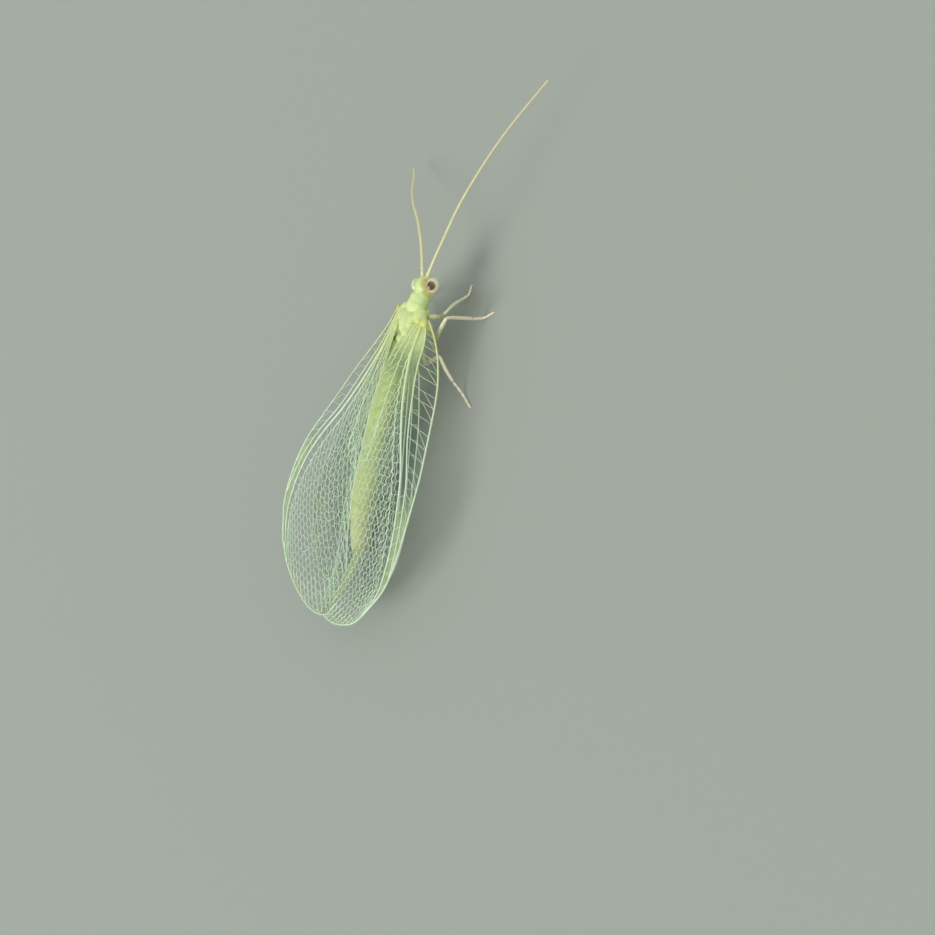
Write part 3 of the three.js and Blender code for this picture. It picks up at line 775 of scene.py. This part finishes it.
hindFront = [[0.46, -0.85], [0.95, -1.2], [1.45, -2.3], [1.95, -3.5], [2.4, -4.8], [2.78, -6.1],
             [3.04, -7.5], [2.98, -8.9], [2.5, -10.15]]
wingSettings = {
    "foreRight": {
        "node": "forewing_right", "side": 1, "heights": foreHeights, "lift": -0.06, "front": foreFront,
        "back": [[0.46, 0.14], [0.38, -0.25], [0.22, -0.85], [0.12, -1.7], [0.1, -2.8], [0.12, -4.1],
                 [0.14, -5.5], [0.14, -6.9], [0.12, -8.3], [0.08, -9.8], [-0.04, -11.3]],
        "tip": [[3.1, -10.65], [2.45, -11.45], [1.42, -12.05], [0.5, -12.25], [0.03, -12.0],
                [-0.04, -11.3]],
        "fold": [[0.75, 0.49], [0.79, 0.5], [0.835, 0.53], [0.885, 0.58], [0.935, 0.635], [1, 0.77]],
    },
    "foreLeft": {
        "node": "forewing_left", "side": -1, "heights": foreHeights, "lift": 0.04, "front": foreFront,
        "back": [[0.3, 0.14], [0.14, -0.25], [0.0, -0.9], [-0.12, -1.7], [-0.28, -2.8], [-0.44, -4.1],
                 [-0.56, -5.4], [-0.64, -6.8], [-0.78, -8.3], [-0.93, -9.7], [-0.98, -11.1]],
        "tip": [[3.1, -10.65], [2.45, -11.5], [1.4, -12.15], [0.3, -12.4], [-0.6, -12.05],
                [-0.98, -11.1]],
    },
    "hindRight": {
        "node": "hindwing_right", "side": 1, "heights": hindHeights, "lift": 0.0, "front": hindFront,
        "back": [[0.4, -1.15], [0.56, -1.75], [0.7, -2.7], [0.74, -4.0], [0.72, -5.3], [0.7, -6.6],
                 [0.7, -7.9], [0.7, -9.2], [0.74, -10.4]],
        "tip": [[2.5, -10.15], [2.0, -10.8], [1.5, -11.2], [1.1, -11.32], [0.82, -11.1], [0.74, -10.4]],
    },
}
wingSettings["hindLeft"] = {**wingSettings["hindRight"], "node": "hindwing_left", "side": -1}


def wingPoint(wing, along, across):
    # Four-sided patch: the straight blend of front and back edge, plus that of root and tip edge,
    # less that of the four corners. Its height goes from the front edge's to the back edge's by
    # across (1.5 - 0.5 across), steepest at the front edge.
    along, across = np.broadcast_arrays(np.asarray(along, float), np.asarray(across, float))
    a, b = along[..., None], across[..., None]
    front, back = splineAt(wing["front"], along), splineAt(wing["back"], along)
    corners = [np.array(wing[key][end], float) for key, end in
               (("front", 0), ("back", 0), ("front", -1), ("back", -1))]
    root = corners[0] * (1 - b) + corners[1] * b
    flat = (1 - b) * front + b * back + (1 - a) * root + a * splineAt(wing["tip"], across)
    flat = flat - (1 - a) * root - a * ((1 - b) * corners[2] + b * corners[3])
    y = flat[..., 1]
    margin, inner = (smoothValue(wing["heights"][key], y) for key in ("margin", "inner"))
    rise = (inner - margin) * across * (1.5 - 0.5 * across)
    return np.stack([wing["side"] * flat[..., 0], y, margin + rise + wing["lift"]], -1)


def wingNormal(wing, along, across):
    # Square to the wing: cross product of its slopes along and across, turned upwards
    step = 0.004
    later, earlier = np.minimum(along + step, 1), np.maximum(along - step, 0)
    farther, nearer = np.minimum(across + step, 1), np.maximum(across - step, 0)
    ahead = wingPoint(wing, later, across) - wingPoint(wing, earlier, across)
    aside = wingPoint(wing, along, farther) - wingPoint(wing, along, nearer)
    normal = unit(np.cross(ahead, aside))
    return normal * np.where(normal[..., 2:] < 0, -1, 1)


# The net of veins. Lanes are [along, across] pairs; a fan's branches leave its lane between two
# starts and end between two places on the rim, 0 to 1 down the back edge, 1 to 2 along the tip edge.
# Of two radii the first is a vein's at its start, the second at its end.
veinSettings = {
    "fore": {
        "sub": [[0, 0.22], [0.133, 0.265], [0.255, 0.33], [0.362, 0.3], [0.463, 0.245],
                [0.603, 0.133], [0.7, 0.088], [0.8, 0.05], [0.86, 0.02]],
        "main": [[0, 0.44], [0.12, 0.49], [0.2, 0.495], [0.32, 0.445], [0.48, 0.303], [0.58, 0.21],
                 [0.7, 0.15], [0.85, 0.11], [1, 0.09]],
        "sector": [[0.16, 0.5], [0.25, 0.535], [0.35, 0.5], [0.48, 0.385], [0.58, 0.293],
                   [0.7, 0.225], [0.85, 0.165], [1, 0.14]],
        "medial": [[0, 0.58], [0.12, 0.66], [0.26, 0.68], [0.38, 0.67], [0.56, 0.66]],
        "cubital": [[0, 0.72], [0.12, 0.8], [0.22, 0.84], [0.3, 0.85]],
        "fans": [("sector", 21, (0.29, 0.93), (0.66, 1.82)), ("medial", 8, (0.24, 0.54), (0.34, 0.63)),
                 ("cubital", 5, (0.08, 0.26), (0.12, 0.31))],
        "costal": (21, 0.04, 0.8, 0.05), "sectorRungs": 0.42, "pitch": 0.34, "stigma": 0.62,
        "front": (0.0352, 0.032), "tip": (0.032, 0.0176), "back": (0.0224, 0.016),
        "subSize": (0.0425, 0.0238), "mainSize": (0.0728, 0.0252), "lane": (0.036, 0.01173),
        "branch": (0.0138, 0.01173), "fork": (0.01242, 0.01035), "cross": 0.0092,
    },
    "hind": {
        "sub": [[0, 0.25], [0.2, 0.2], [0.5, 0.12], [0.7, 0.06], [0.8, 0.02]],
        "main": [[0, 0.4], [0.2, 0.36], [0.5, 0.23], [0.75, 0.14], [1, 0.1]],
        "sector": [[0.08, 0.38], [0.16, 0.45], [0.5, 0.34], [0.75, 0.22], [1, 0.16]],
        "medial": [[0, 0.6], [0.2, 0.64], [0.4, 0.68]],
        "cubital": [[0, 0.8], [0.2, 0.86]],
        "fans": [("sector", 18, (0.18, 0.92), (0.6, 1.8)), ("medial", 6, (0.12, 0.38), (0.28, 0.56)),
                 ("cubital", 4, (0.05, 0.2), (0.08, 0.24))],
        "costal": (14, 0.06, 0.78, 0.018), "sectorRungs": 0.5, "pitch": 0.4, "stigma": 0.2,
        "front": (0.0264, 0.024), "tip": (0.024, 0.0132), "back": (0.0168, 0.012),
        "subSize": (0.0275, 0.0154), "mainSize": (0.0442, 0.0153), "lane": (0.0255, 0.00952),
        "branch": (0.0112, 0.00952), "fork": (0.01008, 0.0084), "cross": 0.0082,
    },
    "steps": 84,
    "shortSteps": 4,
    "sides": 6,
    "zigzag": 0.034,
    "knee": (0.46, 0.3),
    "rimHairs": (420, 170, 320),
    "colours": [(0.0, 206, 196, 122), (0.12, 204, 212, 134), (0.35, 208, 220, 164),
                (0.7, 204, 222, 186), (1.0, 208, 226, 196)],
    "mottle": (176, 208, 164),
}


def rimAt(place):
    # Along and across at a place on the rim
    return np.array([min(place, 1.0), min(1.0, 2.0 - place)])


def bentPath(begin, knee, end, steps):
    # begin (1 - t)² + knee 2 t (1 - t) + end t², as t runs from 0 to 1
    t = np.linspace(0, 1, steps)[:, None]
    return begin * (1 - t) ** 2 + 2 * knee * t * (1 - t) + end * t ** 2


def lanePath(pairs, start, end, steps):
    # A lane's smooth curve from one place along the wing to another
    along = np.linspace(start, end, steps)
    return np.stack([along, smoothValue(pairs, along)], -1)


def runOf(wing, path):
    # Millimetres run along a path, at each of its places
    spots = wingPoint(wing, path[:, 0], path[:, 1])
    return spots, np.concatenate([[0], np.cumsum(np.linalg.norm(np.diff(spots, axis=0), axis=1))])


def zigzag(wing, path, pitch, odd):
    # A path swayed from side to side: its place plus its sideways direction times the sway's size
    # times cos(2 pi (run / pitch - odd / 2)), less at both ends
    _, run = runOf(wing, path)
    size = np.array([12.0, np.linalg.norm(wingPoint(wing, 0.6, 0.0) - wingPoint(wing, 0.6, 1.0))])
    ahead = unit(np.gradient(path * size, axis=0))
    sideways = np.stack([-ahead[:, 1], ahead[:, 0]], -1) / size
    calm = np.clip(run / 0.4, 0, 1) * np.clip((run[-1] - run) / 0.3, 0, 1)
    wave = veinSettings["zigzag"] * calm * np.cos(2 * math.pi * (run / pitch - odd / 2))
    return path + sideways * wave[:, None]


def branchFans(net):
    # The long veins behind the main one, from tip to root, with each fan's lane run into its
    # first branch; the lanes' basal stretches, which lie next to the following fan; and for each
    # branch the place on the rim where its fork ends
    steps = veinSettings["steps"]
    family, stems, forks = [lanePath(net["sector"], net["sector"][0][0], 1.0, steps)], [], []
    for parent, count, starts, rims in net["fans"]:
        pairs = net[parent]
        for k in range(count):
            share = 1 - k / (count - 1)
            start = starts[0] + (starts[1] - starts[0]) * share
            rim = rims[0] + (rims[1] - rims[0]) * share
            begin = np.array([start, smoothValue(pairs, start)])
            knee = begin + (rimAt(rim) - begin) * veinSettings["knee"]
            branch = bentPath(begin, knee, rimAt(rim), steps)
            halfGap = (rims[1] - rims[0]) / (count - 1) / 2
            forks.append((branch, rimAt(min(rim + halfGap, 1.9))))
            if k == 0 and parent != "sector":
                whole = np.concatenate([lanePath(pairs, 0.0, start, steps), branch[1:]])
                each = np.arange(len(whole))
                at = np.linspace(0, each[-1], steps)
                branch = np.stack([np.interp(at, each, row) for row in whole.T], -1)
            family.append(branch)
        stems.append(lanePath(pairs, pairs[0][0], starts[0], steps))
    return family, stems, forks


def rungsBetween(wing, first, second, pitch, odd, chance):
    # Cross veins from one path to the nearest place on the next, one each pitch
    spots, run = runOf(wing, first)
    others, _ = runOf(wing, second)
    at = np.arange(0.2 + pitch * odd / 2, run[-1] - 0.12, pitch)
    at = at + chance.uniform(-0.2, 0.2, len(at)) * pitch
    i = np.clip(np.searchsorted(run, at), 1, len(run) - 2)
    gap = np.linalg.norm(spots[i][:, None] - others[None], axis=-1)
    j = gap.argmin(1)
    near = gap[np.arange(len(i)), j]
    keep = (near > 0.1) & (near < 0.85) & (j > 0) & (j < len(others) - 2)
    return np.stack([first[i[keep]], second[j[keep]]], 1)


def veinNetwork(wing, net, chance):
    # Long veins as (steps, 2) places with their radii, and short ones as pairs of places
    steps, pitch = veinSettings["steps"], net["pitch"]
    u = np.linspace(0, 1, steps)
    backEdge = np.stack([u, 1 + 0 * u], -1)
    sub = lanePath(net["sub"], 0.0, net["sub"][-1][0], steps)
    main = lanePath(net["main"], 0.0, 1.0, steps)
    longVeins = [(np.stack([u, 0 * u], -1), *net["front"]), (np.stack([1 + 0 * u, u], -1), *net["tip"]),
                 (backEdge, *net["back"]), (sub, *net["subSize"]), (main, *net["mainSize"])]
    family, stems, forks = branchFans(net)
    family = [zigzag(wing, path, pitch, k % 2) for k, path in enumerate(family)]
    for k, path in enumerate(family):
        fromRoot = k == 0 or path[0, 0] < 0.01
        longVeins.append((path, *net["lane" if fromRoot else "branch"]))
    for branch, rim in forks:
        split = branch[int(len(branch) * chance.uniform(0.76, 0.84))]
        knee = (split + rim) / 2 + (branch[-1] - rim) * 0.15
        longVeins.append((bentPath(split, knee, rim, steps), *net["fork"]))
    rungs = [rungsBetween(wing, main[main[:, 0] > 0.22], family[0], net["sectorRungs"], 0, chance)]
    for k, (first, second) in enumerate(zip(family, family[1:] + [backEdge])):
        rungs.append(rungsBetween(wing, first, second, pitch, k % 2, chance))
    medial = family[1 + net["fans"][0][1]]
    cubital = family[1 + net["fans"][0][1] + net["fans"][1][1]]
    basal = main[main[:, 0] < net["sector"][0][0]]
    pairs = ((basal, medial), (stems[0], medial), (stems[1], cubital), (stems[2], backEdge))
    for k, (first, second) in enumerate(pairs):
        rungs.append(rungsBetween(wing, first, second, pitch * 1.1, k % 2, chance))
    # Costal field: veins from the first strong vein slant to the front edge, most of them forked
    count, start, end, slant = net["costal"]
    for i, at in enumerate(np.linspace(start, end, count)):
        at = at + chance.uniform(-0.004, 0.004)
        inner = np.array([at, smoothValue(net["sub"], at)])
        outer = np.array([at + slant, 0.0])
        rungs.append(np.array([[inner, outer]]))
        if i % 3 and i > 1:
            split = inner * 0.55 + outer * 0.45
            rungs.append(np.array([[split, [at + slant * 1.75, 0.0]]]))
    # Fields before and behind the first strong vein near the tip
    for at in np.linspace(0.62, 0.97, 9):
        outer = smoothValue(net["sub"], at) if at < net["sub"][-1][0] else 0.0
        rungs.append(np.array([[[at, outer], [at + 0.006, smoothValue(net["main"], at + 0.006)]]]))
    rungs = np.concatenate(rungs)
    return longVeins, rungs, net["cross"] * chance.uniform(0.85, 1.12, (len(rungs), 1))


def veinShape(wing, net, chance):
    # Tubes on the wing's surface, whose up is the wing's own normal
    longVeins, rungs, thick = veinNetwork(wing, net, chance)
    t = np.linspace(0, 1, veinSettings["steps"])
    paths = np.array([path for path, _, _ in longVeins])
    radii = np.array([start + (end - start) * t ** 0.7 for _, start, end in longVeins])
    t = np.linspace(0, 1, veinSettings["shortSteps"])[None, :, None]
    parts = []
    for places, sizes in ((paths, radii), (rungs[:, :1] * (1 - t) + rungs[:, 1:] * t, thick)):
        along, across = np.moveaxis(np.clip(places, 0, 1), -1, 0)
        up = wingNormal(wing, along, across)
        parts.append(manyTubes(wingPoint(wing, along, across), sizes, up, veinSettings["sides"]))
    return joined(parts)


def wingHairs(wing, chance):
    # Short hairs out from the rim, leaning to the tip
    front, tip, back = veinSettings["rimHairs"]
    along = np.concatenate([chance.uniform(0.02, 1, front), np.ones(tip), chance.uniform(0.12, 1, back)])
    across = np.concatenate([np.zeros(front), chance.uniform(0, 1, tip), np.ones(back)])
    roots = wingPoint(wing, along, across)
    middle = wingPoint(wing, np.minimum(along, 0.93) - 0.01, 0.5)
    lean = unit(roots - middle) + np.array([0, -0.8, 0.1])
    return roots, lean, chance.uniform(0.06, 0.11, len(along)), np.stack([along, across * 0.9], -1)


membraneSettings = {
    "rows": 150, "columns": 46, "thickness": 0.01,
    # Density where the film is clear and where it is stained
    "fore": (0.07, 0.8), "hind": (0.13, 0.7),
    # Where each stain starts and where it is full, along the wing or across it
    "stigma": (0.58, 0.7), "stigmaBack": (1.12, 0.92), "tip": (0.955, 0.975), "base": (0.34, 0.14),
    "baseFront": (0.85, 1.05), "fold": (0.76, 0.79), "foldEdge": (0.075, 0.04),
    # Place and colour of the clear film, its dark teal a painted shade of a dark ground seen through it
    # and its violet a painted iridescent sheen, and the two greens of the stain
    "colours": [(0.3, 66, 100, 86), (0.5, 88, 120, 98), (0.62, 106, 106, 118), (0.75, 70, 110, 102)],
    "greens": ((178, 202, 136), (198, 212, 152)),
}


def fade(name, value):
    # 0 where a stain of the film starts, 1 where it is full, straight between
    start, full = membraneSettings[name]
    return np.clip((value - start) / (full - start), 0, 1)


def membraneStain(wing, net, along, across):
    # How green the film is: the stigma between the front edge and the main vein, a band round the
    # tip, the base behind the first strong vein and, on the right, a band where the left wing's
    # hidden rim shows through. The greatest of them counts.
    past = across / np.maximum(smoothValue(net["main"], along), 0.01)
    behind = across / np.maximum(smoothValue(net["sub"], np.minimum(along, 0.7)), 0.01)
    stains = [fade("stigmaBack", past) * fade("stigma", along) * net["stigma"],
              fade("tip", along) * (0.6 - 0.4 * across), fade("base", along) * fade("baseFront", behind)]
    if "fold" in wing:
        away = np.abs(across - smoothValue(wing["fold"], along))
        stains.append(0.6 * fade("foldEdge", away) * fade("fold", along))
    return np.maximum.reduce(stains)


def membraneShape(wing, net):
    # Two faces a film's thickness apart, closed round the rim, with the stain at their points
    rows, columns = membraneSettings["rows"], membraneSettings["columns"]
    along = (1 - (1 - np.linspace(0, 1, rows)) ** 1.15)[:, None]
    across = np.linspace(0, 1, columns)[None] ** 1.2
    middle = wingPoint(wing, along, across)
    half = wingNormal(wing, *np.broadcast_arrays(along, across)) * membraneSettings["thickness"] / 2
    points = np.concatenate([(middle + half).reshape(-1, 3), (middle - half).reshape(-1, 3)])
    size = rows * columns
    i = np.arange(rows) * columns
    j = np.arange(columns)
    rim = np.concatenate([j[:-1], i[:-1] + columns - 1, i[-1] + j[:0:-1], i[:0:-1]])
    following = np.roll(rim, -1)
    wall = np.stack([following, rim, rim + size, following + size], -1)
    lower = gridFaces(rows, columns, first=size)[:, ::-1]
    quads = np.concatenate([gridFaces(rows, columns), lower, wall])
    if wing["side"] > 0:
        quads = quads[:, ::-1]
    stain = membraneStain(wing, net, along, across)
    return (points, quads, np.empty((0, 3), int)), np.tile(stain.ravel(), 2)


def membraneMaterial(kind):
    # Clear film: teal with hints of violet, the teal a painted shade of a dark ground seen through it
    # and the violet a painted iridescent sheen; yellow-green and denser where it is stained
    thin, dense = membraneSettings[kind]
    shader = Shader(kind + "Film", Roughness=0.16, IOR=1.4, Specular_IOR_Level=0.7,
                    Thin_Film_Thickness=420.0, Thin_Film_IOR=1.5)
    place = shader.insectPlace()
    # Painted shade and sheen: dark teal stands for a dark ground seen through the film, violet for its
    # iridescence, spread by noise
    colour = shader.ramp(shader.noise(place, 0.7, 2.0), membraneSettings["colours"], smooth=True)
    stain = shader.put("Attribute", attribute_name="stain").outputs["Fac"]
    mottle = shader.between(shader.noise(place, 7.0, 3.0), 0.3, 0.7)
    one, other = membraneSettings["greens"]
    green = shader.tint(linear(*one), mottle, other)
    shader.feed("Base Color", shader.tint(colour, stain, green))
    shader.feed("Alpha", shader.between(stain, 0.0, 1.0, thin, dense))
    shader.bump(shader.noise(place, 5.0, 3.0), 0.3, 0.00004)
    return shader.material


def veinMaterial():
    # Ochre at the hinge, yellow-green along the base, pale green outwards
    shader = Shader("paleVein", Roughness=0.38, IOR=1.45)
    place = shader.insectPlace()
    y = shader.put("SeparateXYZ", {"Vector": place}).outputs["Y"]
    colour = shader.ramp(shader.between(y, 0.6, -5.0, curve="LINEAR"), veinSettings["colours"])
    mottle = shader.between(shader.noise(place, 3.0, 2.0), 0.4, 0.7, 0.0, 0.5)
    shader.feed("Base Color", shader.tint(colour, mottle, veinSettings["mottle"]))
    shader.bump(shader.noise(place, 40.0, 3.0), 0.25, 0.00001)
    return shader.material


def makeWings():
    # Film and veins of each wing, and the rim hairs of all four as one piece
    chance = np.random.default_rng(23)
    veins = veinMaterial()
    films = {kind: membraneMaterial(kind) for kind in ("fore", "hind")}
    hairGroups = []
    for name, wing in wingSettings.items():
        kind = name[:4]
        net = veinSettings[kind]
        shape, stain = membraneShape(wing, net)
        piece = addPiece(name + "Wing", shape, films[kind], [wing["node"]])
        layer = piece.data.attributes.new("stain", "FLOAT", "POINT")
        layer.data.foreach_set("value", stain.astype(np.float32))
        made = addPiece(name + "Veins", veinShape(wing, net, chance), veins)
        hairGroups.append(wingHairs(wing, chance))
        print("wing made:", name, len(made.data.loops) - 2 * len(made.data.polygons), "vein triangles")
    addHairs("wingHairs", hairGroups, 0.003, veins)


makeWings()


# Floor, lights and air
stageSettings = {
    "floor": 0.6,
    "floorColour": (146, 152, 142),
    # Turn in degrees, strength and width in degrees
    "lights": {"keyLight": ((38, -24, 20), 2.0, 30), "fillLight": ((-40, 50, 0), 1.1, 70)},
    "air": 0.62,
    "airColour": (0.93, 0.97, 1.0, 1),
}


def makeStage():
    # A square floor, two far lights and an even air
    mesh = bpy.data.meshes.new("floor")
    corners = [(-1, -1), (1, -1), (1, 1), (-1, 1)]
    half = stageSettings["floor"]
    mesh.from_pydata([(x * half, y * half, 0) for x, y in corners], [], [(0, 1, 2, 3)])
    floor = addObject("floor", mesh)
    shader = Shader("floorPaint", Roughness=0.85, Base_Color=linear(*stageSettings["floorColour"]))
    mesh.materials.append(shader.material)
    for name, (turn, strength, angle) in stageSettings["lights"].items():
        light = bpy.data.lights.new(name, "SUN")
        light.energy = strength
        light.angle = math.radians(angle)
        addObject(name, light).rotation_euler = [math.radians(a) for a in turn]
    world = bpy.data.worlds.new("air")
    bpy.context.scene.world = world
    world.use_nodes = True
    air = world.node_tree.nodes["Background"].inputs
    air["Color"].default_value = stageSettings["airColour"]
    air["Strength"].default_value = stageSettings["air"]
    bpy.context.scene.cycles.transparent_max_bounces = 32
    bpy.context.scene.view_settings.view_transform = "Standard"
    print("stage set")


makeStage()
